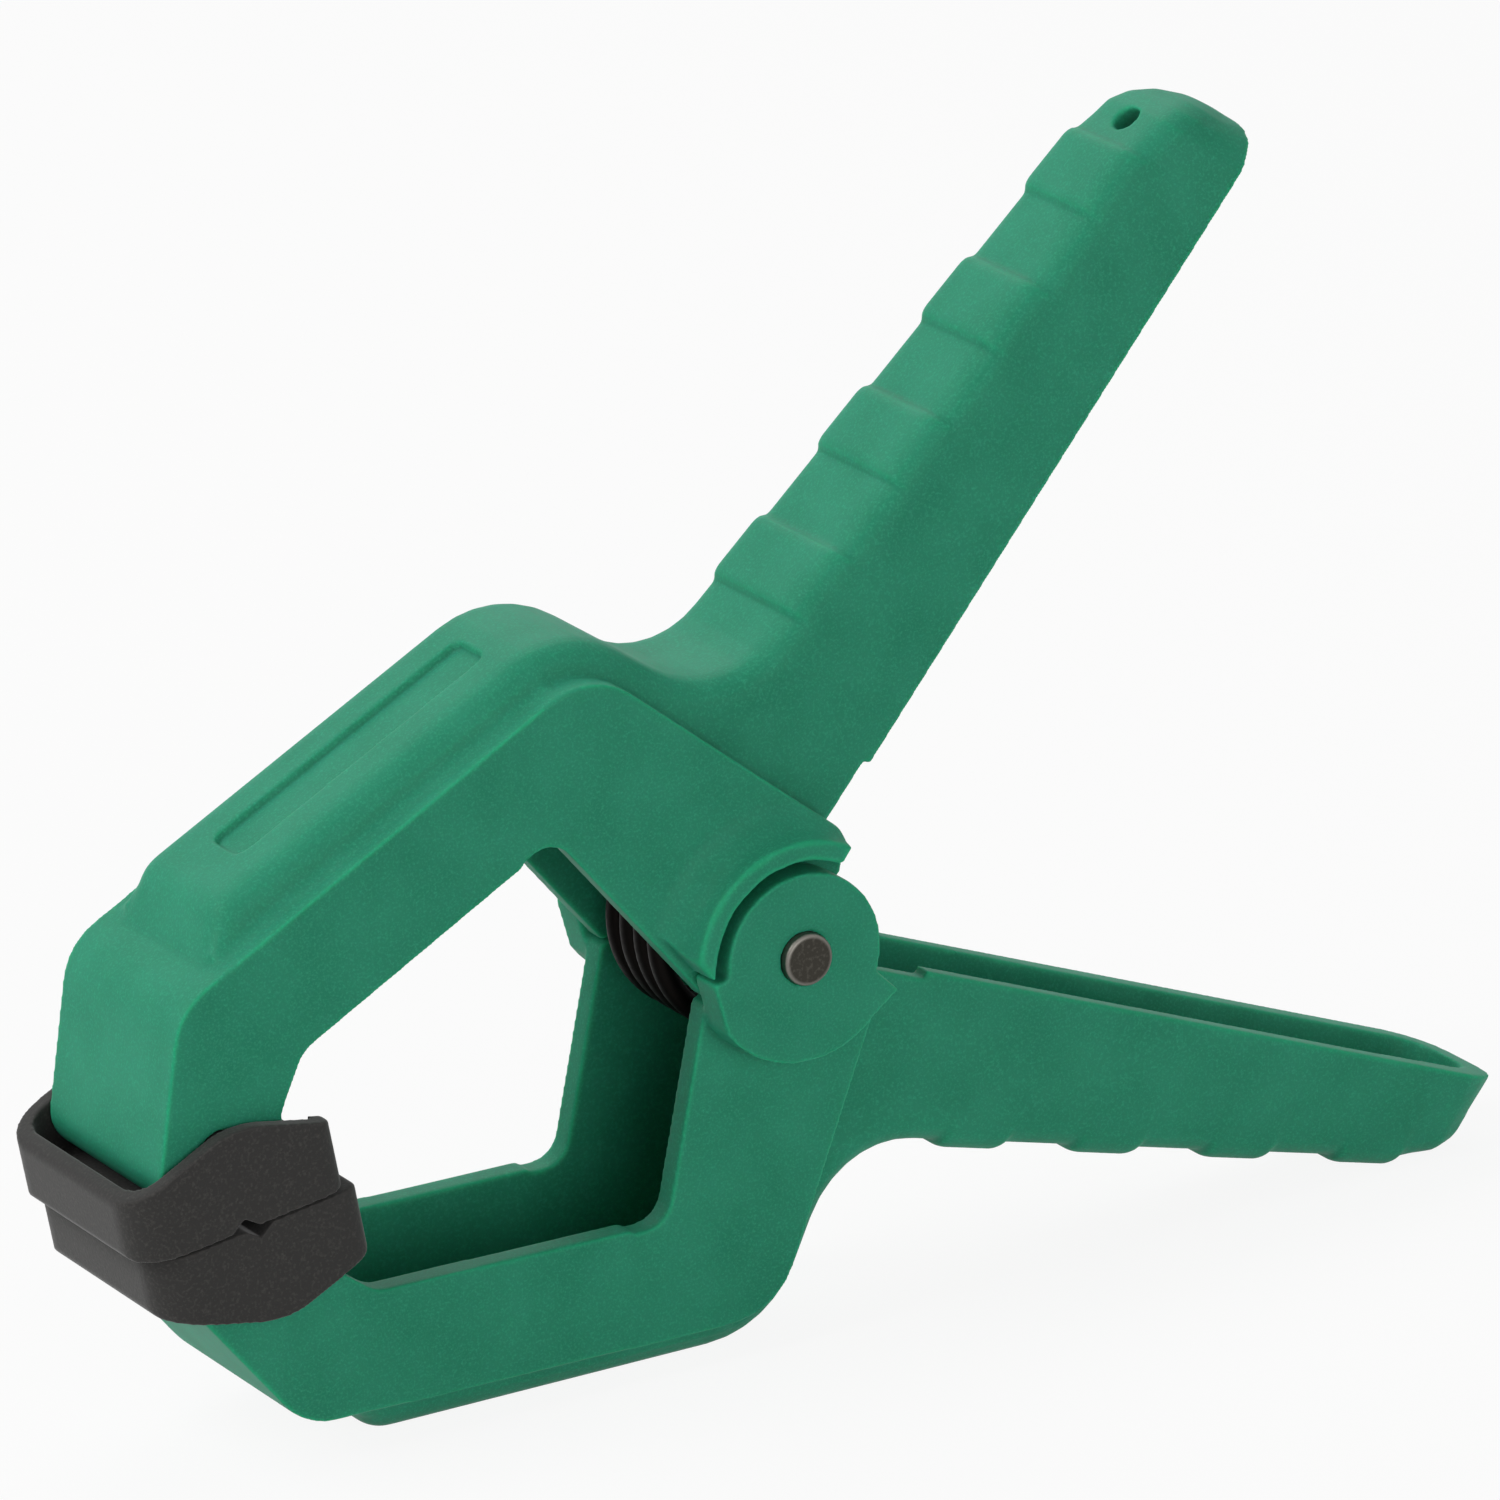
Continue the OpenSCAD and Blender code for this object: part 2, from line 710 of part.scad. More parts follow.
module upper_jaw_pad() {
    color(pad_black)
        standing()
            upper_side()
                jaw_pad(-pad_tilt);
}

module lower_jaw_pad() {
    color(pad_black)
        standing()
            lower_side()
                jaw_pad(pad_tilt);
}

// From a lever's plane to the clamp's own upright position
module upper_side() {
    rotate([90, 0, 0])
        children();
}

module lower_side() {
    mirror([0, 0, 1])
        rotate([90, 0, 0])
            children();
}

// The clamp lies back on its lower lever: on the spine and on the last finger pad.
// The floor is the line that touches both, and the origin lies on it.
rest_front = meet(ramp_line, spine_line);
rest_crest = meet(spine_line, saddle_line);
rest_pad = along(grip_line, last_reach - 1.4, grip_step);
tip_u = handle_length - tip_round * (1 - sin(tip_step));
rest_tip = along(handle_line, tip_u, tip_depth(tip_u, 0) - tip_round * (1 - cos(tip_step)));
stance = max([for (p = [rest_pad, rest_tip]) min(slope_between(rest_front, p), slope_between(rest_crest, p))]);
stand_height = max([for (p = [rest_front, rest_crest, rest_pad, rest_tip]) through(p, stance)[1]]);
front_point = swivel + [-pad_length / 2, pad_front - swivel_height];
end_point = along(handle_line, handle_length);
middle = (front_point.x * cos(stance) - front_point.y * sin(stance)
    + end_point.x * cos(stance) + end_point.y * sin(stance)) / 2;

module standing() {
    translate([-middle, 0, stand_height])
        rotate([0, -stance, 0])
            children();
}

lower_lever();
upper_lever();
pivot_pin();
torsion_spring();
upper_jaw_pad();
lower_jaw_pad();
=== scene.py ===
"""A spring clamp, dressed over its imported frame.

Two moulded nylon levers turn on a steel pin, a torsion spring pushes their handles
apart, and a black pad swivels on the nose of each jaw. Lengths are in metres, except
where a name ends in mm.
"""

import json
import logging
import math
from collections.abc import Sequence
from dataclasses import dataclass, field
from enum import Enum

import bmesh
import bpy
import numpy as np
from mathutils import Matrix, Vector

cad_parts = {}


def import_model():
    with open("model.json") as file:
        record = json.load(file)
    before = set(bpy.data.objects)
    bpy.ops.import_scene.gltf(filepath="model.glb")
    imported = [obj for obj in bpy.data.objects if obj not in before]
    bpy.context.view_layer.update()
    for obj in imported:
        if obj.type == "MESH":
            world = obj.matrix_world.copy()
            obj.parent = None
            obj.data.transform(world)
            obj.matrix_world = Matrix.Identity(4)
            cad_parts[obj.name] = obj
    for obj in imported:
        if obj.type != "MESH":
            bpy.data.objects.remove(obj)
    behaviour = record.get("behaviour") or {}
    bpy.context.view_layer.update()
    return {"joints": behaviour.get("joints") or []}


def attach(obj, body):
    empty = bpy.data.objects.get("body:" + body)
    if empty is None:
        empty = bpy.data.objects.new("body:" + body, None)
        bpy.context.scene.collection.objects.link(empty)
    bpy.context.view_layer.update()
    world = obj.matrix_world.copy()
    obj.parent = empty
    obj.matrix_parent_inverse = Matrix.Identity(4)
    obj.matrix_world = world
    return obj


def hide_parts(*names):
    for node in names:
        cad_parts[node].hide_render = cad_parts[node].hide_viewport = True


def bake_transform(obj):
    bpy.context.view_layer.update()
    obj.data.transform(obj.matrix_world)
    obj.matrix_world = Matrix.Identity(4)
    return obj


LOG = logging.getLogger("clamp")
MM = 0.001

# The attribute that says how far the easing of a skin sank each point, from which the materials
# paint highlights on outer edges and shade in inner corners
EDGE_ATTRIBUTE = "edge"

# The rings of a fading zone as shares of its radius, and the weight that they gain inwards
FADE_STEPS = (0.0, 0.15, 0.3, 0.45, 0.6)
FADE_START = 0.1
FADE_RISE = 1.3

# The angle at which the clamp lies back on its lower lever
STANCE = math.radians(13.875)


class Body(Enum):
    """The moving bodies of the frame."""

    LOWER = "lower"
    UPPER = "upper"
    UPPER_PAD = "upper_pad"
    LOWER_PAD = "lower_pad"


class Slot(Enum):
    """The record's material slots."""

    NYLON = "nylon"
    PAD = "pad"
    STEEL = "steel"


def linear(colour: str) -> tuple[float, float, float, float]:
    """Turns an sRGB hex colour into Blender's linear one.

    Args:
        colour: Six hex digits after a #.

    Returns:
        Linear red, green and blue, and an alpha of 1.
    """
    channels = [int(colour[i : i + 2], 16) / 255 for i in (1, 3, 5)]
    red, green, blue = [
        c / 12.92 if c <= 0.04045 else ((c + 0.055) / 1.055) ** 2.4 for c in channels
    ]
    return red, green, blue, 1.0


def add_node(
    tree: bpy.types.NodeTree, kind: str, inputs: dict | None = None, **settings: object
) -> bpy.types.Node:
    """Adds a node with its settings, its values and its links.

    Args:
        tree: The node tree that takes the node.
        kind: The node's type.
        inputs: For a socket's name or number, a value or the output that feeds it.
        settings: Attributes of the node.

    Returns:
        The new node.
    """
    node = tree.nodes.new(kind)
    for name, value in settings.items():
        setattr(node, name, value)
    for socket, value in (inputs or {}).items():
        if isinstance(value, bpy.types.NodeSocket):
            tree.links.new(value, node.inputs[socket])
        else:
            node.inputs[socket].default_value = value
    return node


def new_material(name: str) -> tuple[bpy.types.Material, bpy.types.NodeTree]:
    """Makes an empty node material.

    Args:
        name: The material's name.

    Returns:
        The material and its cleared node tree.
    """
    material = bpy.data.materials.new(name)
    material.use_nodes = True
    material.node_tree.nodes.clear()
    return material, material.node_tree


@dataclass(frozen=True)
class MouldedNylon:
    """Green glass-filled nylon from a spark-eroded mould.

    The tool leaves a fine satin grain, and the fibres a faint pale fleck. Outer edges get a
    painted highlight, a clearer and more saturated green that stands for light passing into
    thin edges, and inner corners get painted shade.
    """

    name: str = "moulded_nylon"
    face: str = "#2e9172"
    fleck: str = "#3fae8a"
    hollow: str = "#1f8263"
    # Painted highlight for outer edges: a clearer, more saturated green that stands for light
    # passing into thin edges
    edge: str = "#1fae7c"
    # Painted shade for inner corners and creases
    corner: str = "#0f6446"
    # The eroded grain is about 0.1 mm and a fibre 0.02 mm across: both are drawn as coarse
    # as they need to be to show
    grain_mm: float = 0.4
    fleck_mm: float = 0.3
    # Slow changes of tone where the melt flowed
    cloud_mm: float = 8.0
    smoothest: float = 0.5
    roughest: float = 0.62
    ior: float = 1.53

    def material(self) -> bpy.types.Material:
        """Builds the nylon.

        Returns:
            The finished material.
        """
        material, tree = new_material(self.name)
        place = add_node(tree, "ShaderNodeTexCoord").outputs["Object"]
        grain = add_node(
            tree,
            "ShaderNodeTexNoise",
            {"Vector": place, "Scale": 1 / (self.grain_mm * MM), "Detail": 3.0},
        )
        fleck = add_node(
            tree,
            "ShaderNodeTexNoise",
            {"Vector": place, "Scale": 1 / (self.fleck_mm * MM), "Detail": 2.0, "Roughness": 0.7},
        )
        cloud = add_node(
            tree,
            "ShaderNodeTexNoise",
            {"Vector": place, "Scale": 1 / (self.cloud_mm * MM), "Detail": 4.0},
        )
        fleck_share = add_node(
            tree,
            "ShaderNodeMapRange",
            {"Value": fleck.outputs["Fac"], "From Min": 0.48, "From Max": 0.78, "To Max": 0.7},
        )
        cloud_share = add_node(
            tree,
            "ShaderNodeMapRange",
            {"Value": cloud.outputs["Fac"], "From Min": 0.35, "From Max": 0.7, "To Max": 0.6},
        )
        clouded = add_node(
            tree,
            "ShaderNodeMix",
            {0: cloud_share.outputs[0], 6: linear(self.face), 7: linear(self.hollow)},
            data_type="RGBA",
        )
        flecked = add_node(
            tree,
            "ShaderNodeMix",
            {0: fleck_share.outputs[0], 6: clouded.outputs[2], 7: linear(self.fleck)},
            data_type="RGBA",
        )
        # Painted highlight: outer edges lighten towards the edge colour, by how far the easing sank
        # them
        edge = add_node(tree, "ShaderNodeAttribute", attribute_name=EDGE_ATTRIBUTE)
        edge_highlight_share = add_node(
            tree,
            "ShaderNodeMapRange",
            {"Value": edge.outputs["Fac"], "From Min": 0.1, "From Max": 0.8, "To Max": 0.45},
        )
        # Painted shade: inner corners darken towards the corner colour, by how far the easing
        # raised them
        corner_shade_share = add_node(
            tree,
            "ShaderNodeMapRange",
            {"Value": edge.outputs["Fac"], "From Min": -0.1, "From Max": -0.8, "To Max": 0.6},
        )
        corner_shaded = add_node(
            tree,
            "ShaderNodeMix",
            {0: corner_shade_share.outputs[0], 6: flecked.outputs[2], 7: linear(self.corner)},
            data_type="RGBA",
        )
        edge_highlighted = add_node(
            tree,
            "ShaderNodeMix",
            {0: edge_highlight_share.outputs[0], 6: corner_shaded.outputs[2], 7: linear(self.edge)},
            data_type="RGBA",
        )
        roughness = add_node(
            tree,
            "ShaderNodeMapRange",
            {
                "Value": fleck.outputs["Fac"],
                "From Min": 0.3,
                "From Max": 0.7,
                "To Min": self.smoothest,
                "To Max": self.roughest,
            },
        )
        bump = add_node(
            tree,
            "ShaderNodeBump",
            {"Height": grain.outputs["Fac"], "Strength": 0.3, "Distance": 0.05 * MM},
        )
        surface = add_node(
            tree,
            "ShaderNodeBsdfPrincipled",
            {
                "Base Color": edge_highlighted.outputs[2],
                "Roughness": roughness.outputs[0],
                "IOR": self.ior,
                "Specular IOR Level": 0.14,
                "Subsurface Weight": 0.7,
                "Subsurface Radius": (0.25, 1.0, 0.6),
                "Subsurface Scale": 2.0 * MM,
                "Normal": bump.outputs[0],
            },
        )
        add_node(tree, "ShaderNodeOutputMaterial", {"Surface": surface.outputs[0]})
        return material


@dataclass(frozen=True)
class MouldedElastomer:
    """Black thermoplastic elastomer, moulded with a matt grain that hardly shines."""

    name: str = "moulded_elastomer"
    face: str = "#2d2c2b"
    fleck: str = "#4a4845"
    # Painted highlight: a lighter grey along the outer edges
    edge: str = "#4c4a48"
    # The real grain is about 0.1 mm, and is drawn coarser to show
    grain_mm: float = 0.4
    fleck_mm: float = 0.35
    ior: float = 1.5

    def material(self) -> bpy.types.Material:
        """Builds the elastomer.

        Returns:
            The finished material.
        """
        material, tree = new_material(self.name)
        place = add_node(tree, "ShaderNodeTexCoord").outputs["Object"]
        grain = add_node(
            tree,
            "ShaderNodeTexNoise",
            {"Vector": place, "Scale": 1 / (self.grain_mm * MM), "Detail": 3.0},
        )
        fleck = add_node(
            tree,
            "ShaderNodeTexNoise",
            {"Vector": place, "Scale": 1 / (self.fleck_mm * MM), "Detail": 2.0},
        )
        fleck_share = add_node(
            tree,
            "ShaderNodeMapRange",
            {"Value": fleck.outputs["Fac"], "From Min": 0.5, "From Max": 0.8, "To Max": 0.6},
        )
        flecked = add_node(
            tree,
            "ShaderNodeMix",
            {0: fleck_share.outputs[0], 6: linear(self.face), 7: linear(self.fleck)},
            data_type="RGBA",
        )
        # Painted highlight: outer edges lighten towards the edge colour, by how far the easing sank
        # them
        edge = add_node(tree, "ShaderNodeAttribute", attribute_name=EDGE_ATTRIBUTE)
        edge_highlight_share = add_node(
            tree,
            "ShaderNodeMapRange",
            {"Value": edge.outputs["Fac"], "From Min": 0.2, "From Max": 1.0, "To Max": 0.5},
        )
        edge_highlighted = add_node(
            tree,
            "ShaderNodeMix",
            {0: edge_highlight_share.outputs[0], 6: flecked.outputs[2], 7: linear(self.edge)},
            data_type="RGBA",
        )
        bump = add_node(
            tree,
            "ShaderNodeBump",
            {"Height": grain.outputs["Fac"], "Strength": 0.35, "Distance": 0.06 * MM},
        )
        surface = add_node(
            tree,
            "ShaderNodeBsdfPrincipled",
            {
                "Base Color": edge_highlighted.outputs[2],
                "Roughness": 0.75,
                "IOR": self.ior,
                "Specular IOR Level": 0.25,
                "Sheen Weight": 0.3,
                "Sheen Roughness": 0.4,
                "Normal": bump.outputs[0],
            },
        )
        add_node(tree, "ShaderNodeOutputMaterial", {"Surface": surface.outputs[0]})
        return material


@dataclass(frozen=True)
class BlackenedSteel:
    """Steel with a hot black oxide: dark, slightly brown, and satin.

    The turned rims get a painted highlight, a pale bare-steel colour where the chamfers catch
    the light. Oil-tempered spring wire is the same to the eye, but darker, because it isn't
    handled.
    """

    name: str = "blackened_steel"
    face: str = "#393732"
    worn: str = "#66635c"
    # Painted highlight on the turned rims, in a pale bare-steel colour
    rim: str = "#a39f98"
    smoothest: float = 0.36
    roughest: float = 0.5
    # The oxide's pits and the turning marks are under 0.1 mm, and are drawn coarser to show
    pit_mm: float = 0.5
    scratch_mm: float = 0.25

    def material(self) -> bpy.types.Material:
        """Builds the blackened steel.

        Returns:
            The finished material.
        """
        material, tree = new_material(self.name)
        place = add_node(tree, "ShaderNodeTexCoord").outputs["Object"]
        pits = add_node(
            tree,
            "ShaderNodeTexNoise",
            {"Vector": place, "Scale": 1 / (self.pit_mm * MM), "Detail": 4.0},
        )
        fine = add_node(
            tree,
            "ShaderNodeTexNoise",
            {"Vector": place, "Scale": 1 / (self.scratch_mm * MM), "Detail": 3.0},
        )
        worn_share = add_node(
            tree,
            "ShaderNodeMapRange",
            {"Value": pits.outputs["Fac"], "From Min": 0.5, "From Max": 0.75, "To Max": 0.4},
        )
        tone = add_node(
            tree,
            "ShaderNodeMix",
            {0: worn_share.outputs[0], 6: linear(self.face), 7: linear(self.worn)},
            data_type="RGBA",
        )
        # Painted highlight: the sharply bent chamfers lighten towards the rim colour
        bend = add_node(tree, "ShaderNodeNewGeometry").outputs["Pointiness"]
        rim_highlight_share = add_node(
            tree,
            "ShaderNodeMapRange",
            {"Value": bend, "From Min": 0.51, "From Max": 0.535, "To Max": 0.45},
        )
        rim_highlighted = add_node(
            tree,
            "ShaderNodeMix",
            {0: rim_highlight_share.outputs[0], 6: tone.outputs[2], 7: linear(self.rim)},
            data_type="RGBA",
        )
        roughness = add_node(
            tree,
            "ShaderNodeMapRange",
            {
                "Value": pits.outputs["Fac"],
                "From Min": 0.3,
                "From Max": 0.7,
                "To Min": self.smoothest,
                "To Max": self.roughest,
            },
        )
        bump = add_node(
            tree,
            "ShaderNodeBump",
            {"Height": fine.outputs["Fac"], "Strength": 0.2, "Distance": 0.03 * MM},
        )
        surface = add_node(
            tree,
            "ShaderNodeBsdfPrincipled",
            {
                "Base Color": rim_highlighted.outputs[2],
                "Metallic": 1.0,
                "Roughness": roughness.outputs[0],
                "Normal": bump.outputs[0],
            },
        )
        add_node(tree, "ShaderNodeOutputMaterial", {"Surface": surface.outputs[0]})
        return material


@dataclass(frozen=True)
class Finishes:
    """The clamp's four materials, each made once."""

    nylon: bpy.types.Material
    pad: bpy.types.Material
    pin: bpy.types.Material
    wire: bpy.types.Material


def piece_from(
    bm: bmesh.types.BMesh, name: str, material: bpy.types.Material, place: Matrix | None = None
) -> bpy.types.Object:
    """Turns a bmesh into a smooth-shaded object whose own place is the origin.

    Args:
        bm: The mesh, which is freed.
        name: The object's name.
        material: Its material.
        place: Where its drawing lies in the frame, or None if it is there already.

    Returns:
        The linked object.
    """
    if place is not None:
        bmesh.ops.transform(bm, matrix=place, verts=bm.verts)
    mesh = bpy.data.meshes.new(name)
    bm.to_mesh(mesh)
    bm.free()
    mesh.materials.append(material)
    mesh.shade_smooth()
    piece = bpy.data.objects.new(name, mesh)
    bpy.context.collection.objects.link(piece)
    return piece


def report(piece: bpy.types.Object) -> None:
    """Logs a piece's name, triangles and box.

    Args:
        piece: The finished piece.
    """
    mesh = piece.data
    mesh.calc_loop_triangles()
    size = [round(v / MM, 1) for v in piece.dimensions]
    LOG.info("%s: %d triangles, %s mm", piece.name, len(mesh.loop_triangles), size)


def rows_of(vectors: bpy.types.bpy_prop_collection, name: str) -> np.ndarray:
    """Reads one vector of each element of a mesh.

    Args:
        vectors: The mesh's vertices or vertex normals.
        name: The attribute that holds the vector.

    Returns:
        One row of three numbers for each.
    """
    rows = np.empty(len(vectors) * 3)
    vectors.foreach_get(name, rows)
    return rows.reshape(-1, 3)


@dataclass(frozen=True)
class Zone:
    """All that lies within a radius of a straight stretch, and how much it is smoothed."""

    start: Vector
    end: Vector
    radius: float
    passes: int

    def inside(self, rows: np.ndarray, share_of_radius: float = 1.0) -> list[int]:
        """Finds the points that lie in the zone.

        Args:
            rows: One point in each row.
            share_of_radius: How much of the zone's radius counts.

        Returns:
            Their numbers.
        """
        start = np.array(self.start)
        way = np.array(self.end) - start
        share = np.clip((rows - start) @ way / max(way @ way, 1e-12), 0, 1)
        away = np.linalg.norm(rows - start - share[:, None] * way, axis=1)
        return np.flatnonzero(away < self.radius * share_of_radius).tolist()

    def fading(self, rows: np.ndarray) -> list[tuple[Sequence[int], float]]:
        """Weighs the zone's points, so that a change fades out towards its limit.

        Args:
            rows: One point in each row.

        Returns:
            Nested rings of points from the limit inwards, each with its weight.
        """
        return [
            (self.inside(rows, 1.0 - step), FADE_START + FADE_RISE * step) for step in FADE_STEPS
        ]


@dataclass(frozen=True)
class Recess:
    """A shallow recess, whose floor lies in the XZ plane of its own place.

    The floor is all that lies within the limits and no further than catch from that plane.
    """

    place: Matrix
    half_length: float
    half_width: float
    sink: float
    catch: float = 0.2 * MM

    def carve(self, piece: bpy.types.Object) -> None:
        """Sinks the recess's floor, which leaves its walls steep.

        Args:
            piece: The gridded piece.
        """
        mesh = piece.data
        rows = rows_of(mesh.vertices, "co")
        own = np.array(self.place.inverted())
        spots = rows @ own[:3, :3].T + own[:3, 3]
        floor = (
            (np.abs(spots[:, 0]) < self.half_length)
            & (np.abs(spots[:, 1]) < self.catch)
            & (np.abs(spots[:, 2]) < self.half_width)
        )
        down = -np.array(self.place.to_3x3().col[1].normalized())
        rows[floor] += down * self.sink
        mesh.vertices.foreach_set("co", rows.ravel())
        mesh.update()


@dataclass(frozen=True)
class RoundedCorner:
    """An upright outer corner, rounded down to its foot.

    In its own place the middle of the round runs along Y, X and Z point out of the two
    faces that meet in the corner, and the surface that it stands on passes through the
    origin, at foot_slope to the Y axis.
    """

    place: Matrix
    radius: float
    height: float
    foot_slope: float
    foot_gap: float = 0.15 * MM

    def carve(self, piece: bpy.types.Object) -> None:
        """Draws in what sticks out of the round.

        Args:
            piece: The gridded piece.
        """
        mesh = piece.data
        rows = rows_of(mesh.vertices, "co")
        own = np.array(self.place.inverted())
        spots = rows @ own[:3, :3].T + own[:3, 3]
        x, y, z = spots.T
        away = np.hypot(x, z)
        lift = math.cos(self.foot_slope) * x + math.sin(self.foot_slope) * y
        out = (x > 0) & (z > 0) & (away > self.radius) & (lift > self.foot_gap)
        out &= (away < 2 * self.radius) & (np.abs(y) < self.height)
        share = self.radius / away
        spots[out] *= np.stack([share, np.ones(len(y)), share], axis=1)[out]
        back = np.array(self.place)
        mesh.vertices.foreach_set("co", (spots @ back[:3, :3].T + back[:3, 3]).ravel())
        mesh.update()


@dataclass
class MouldedSkin:
    """A moulding's skin: the frame's solid with every edge eased as a mould eases it."""

    node: str
    body: Body
    slot: Slot
    grid: float
    passes: int
    keep: float
    zones: tuple[Zone, ...] = ()
    blends: tuple[Zone, ...] = ()
    carvings: tuple[Recess | RoundedCorner, ...] = ()
    edge_sink: float = 0.12 * MM

    def build(self, material: bpy.types.Material) -> bpy.types.Object:
        """Grids a merged copy of the solid finely, smooths its edges and thins its flats.

        Args:
            material: The skin's material.

        Returns:
            The finished piece, which stands for the solid.
        """
        bm = bmesh.new()
        bm.from_mesh(bpy.data.objects[self.node].data)
        bmesh.ops.remove_doubles(bm, verts=bm.verts, dist=1e-6)
        rough = piece_from(bm, f"{self.node}_core", material)
        grid = rough.modifiers.new("grid", "REMESH")
        grid.mode = "VOXEL"
        grid.voxel_size = self.grid * 1.0
        self.bake(rough)
        for carving in self.carvings:
            carving.carve(rough)
        sharp = rows_of(rough.data.vertices, "co")
        self.ease(rough, sharp)
        self.mark_edges(rough.data, sharp)
        self.blend(rough, sharp)
        thin = rough.modifiers.new("thin", "DECIMATE")
        thin.ratio = self.keep
        mesh = self.bake(rough)
        bpy.data.objects.remove(rough)
        mesh.name = f"{self.node}_skin"
        mesh.materials.clear()
        mesh.materials.append(material)
        mesh.shade_smooth()
        skin = bpy.data.objects.new(f"{self.node}_skin", mesh)
        bpy.context.collection.objects.link(skin)
        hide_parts(self.node)
        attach(skin, self.body.value)
        report(skin)
        return skin

    @staticmethod
    def bake(piece: bpy.types.Object) -> bpy.types.Mesh:
        """Applies a piece's modifiers.

        Args:
            piece: The piece, whose modifiers are cleared.

        Returns:
            Its new mesh.
        """
        graph = bpy.context.evaluated_depsgraph_get()
        mesh = bpy.data.meshes.new_from_object(piece.evaluated_get(graph))
        piece.modifiers.clear()
        piece.data = mesh
        return mesh

    def ease(self, piece: bpy.types.Object, sharp: np.ndarray) -> None:
        """Smooths the edges, less in the crisp zones and more in the soft ones.

        Args:
            piece: The gridded piece.
            sharp: Its points.
        """
        shares = [(range(len(sharp)), 1.0)]
        crisp = [zone for zone in self.zones if zone.passes < self.passes]
        shares += [(zone.inside(sharp), zone.passes / self.passes) for zone in crisp]
        self.smooth(piece, self.passes, shares)
        for zone in self.zones:
            if zone not in crisp:
                self.smooth(piece, zone.passes, zone.fading(sharp))
        self.bake(piece)

    def blend(self, piece: bpy.types.Object, sharp: np.ndarray) -> None:
        """Runs fillets out softly where they end, which leaves no mark of an edge.

        Args:
            piece: The eased piece.
            sharp: Its points before.
        """
        for zone in self.blends:
            self.smooth(piece, zone.passes, zone.fading(sharp))
        self.bake(piece)

    @staticmethod
    def smooth(
        piece: bpy.types.Object, passes: int, shares: list[tuple[Sequence[int], float]]
    ) -> None:
        """Adds smoothing to some of a piece's points.

        Args:
            piece: The piece.
            passes: The number of passes.
            shares: Points with the share of the smoothing that they get; later ones hold.
        """
        group = piece.vertex_groups.new(name="share")
        for points, weight in shares:
            group.add(list(points), weight, "REPLACE")
        smooth = piece.modifiers.new(group.name, "SMOOTH")
        smooth.factor = 0.5
        smooth.iterations = passes
        smooth.vertex_group = group.name

    def mark_edges(self, mesh: bpy.types.Mesh, sharp: np.ndarray) -> None:
        """Stores how far the easing sank each point.

        That is most on an outer edge, below nothing in an inner corner, and left out where
        a fillet ends.

        Args:
            mesh: The eased mesh.
            sharp: Its points before.
        """
        moved = sharp - rows_of(mesh.vertices, "co")
        sunk = (moved * rows_of(mesh.vertex_normals, "vector")).sum(axis=1)
        for zone in self.blends:
            sunk[zone.inside(sharp)] = 0.0
        # The materials paint a highlight on outer edges and shade in inner corners from this
        # attribute
        edge = mesh.attributes.new(EDGE_ATTRIBUTE, "FLOAT", "POINT")
        edge.data.foreach_set("value", np.clip(sunk / self.edge_sink, -1, 1))


@dataclass
class PivotPin:
    """A plain steel rod with turned chamfers, pressed into the lower lever's ears."""

    place: Matrix
    radius: float = 3.0 * MM
    half_length: float = 19.0 * MM
    chamfer: float = 0.45 * MM
    chamfer_steps: int = 4
    # Rings that keep each end flat up to its chamfer
    end_rings: tuple[float, ...] = (0.25 * MM, 0.5 * MM)
    sides: int = 96

    def build(self, material: bpy.types.Material) -> bpy.types.Object:
        """Extrudes the rod and rounds the rims of its ends.

        Args:
            material: The pin's material.

        Returns:
            The finished piece.
        """
        bm = bmesh.new()
        bmesh.ops.create_circle(
            bm,
            cap_ends=True,
            radius=self.radius,
            segments=self.sides,
            matrix=Matrix.Translation((0, 0, -self.half_length)),
        )
        drawn = bmesh.ops.extrude_face_region(bm, geom=list(bm.faces), use_keep_orig=True)
        moved = [v for v in drawn["geom"] if isinstance(v, bmesh.types.BMVert)]
        bmesh.ops.translate(bm, verts=moved, vec=(0, 0, 2 * self.half_length))
        rims = [e for e in bm.edges if abs(e.verts[0].co.z - e.verts[1].co.z) < 1e-7]
        bmesh.ops.bevel(
            bm,
            geom=rims,
            offset=self.chamfer,
            offset_type="OFFSET",
            affect="EDGES",
            segments=self.chamfer_steps,
            profile=0.5,
            material=-1,
        )
        caps = [f for f in bm.faces if len(f.verts) > 4]
        for inset in self.end_rings:
            bmesh.ops.inset_region(bm, faces=caps, thickness=inset, use_even_offset=True)
        bmesh.ops.recalc_face_normals(bm, faces=bm.faces)
        pin = piece_from(bm, "pivot_pin_rod", material, self.place)
        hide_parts("pivot_pin")
        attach(pin, Body.LOWER.value)
        report(pin)
        return pin


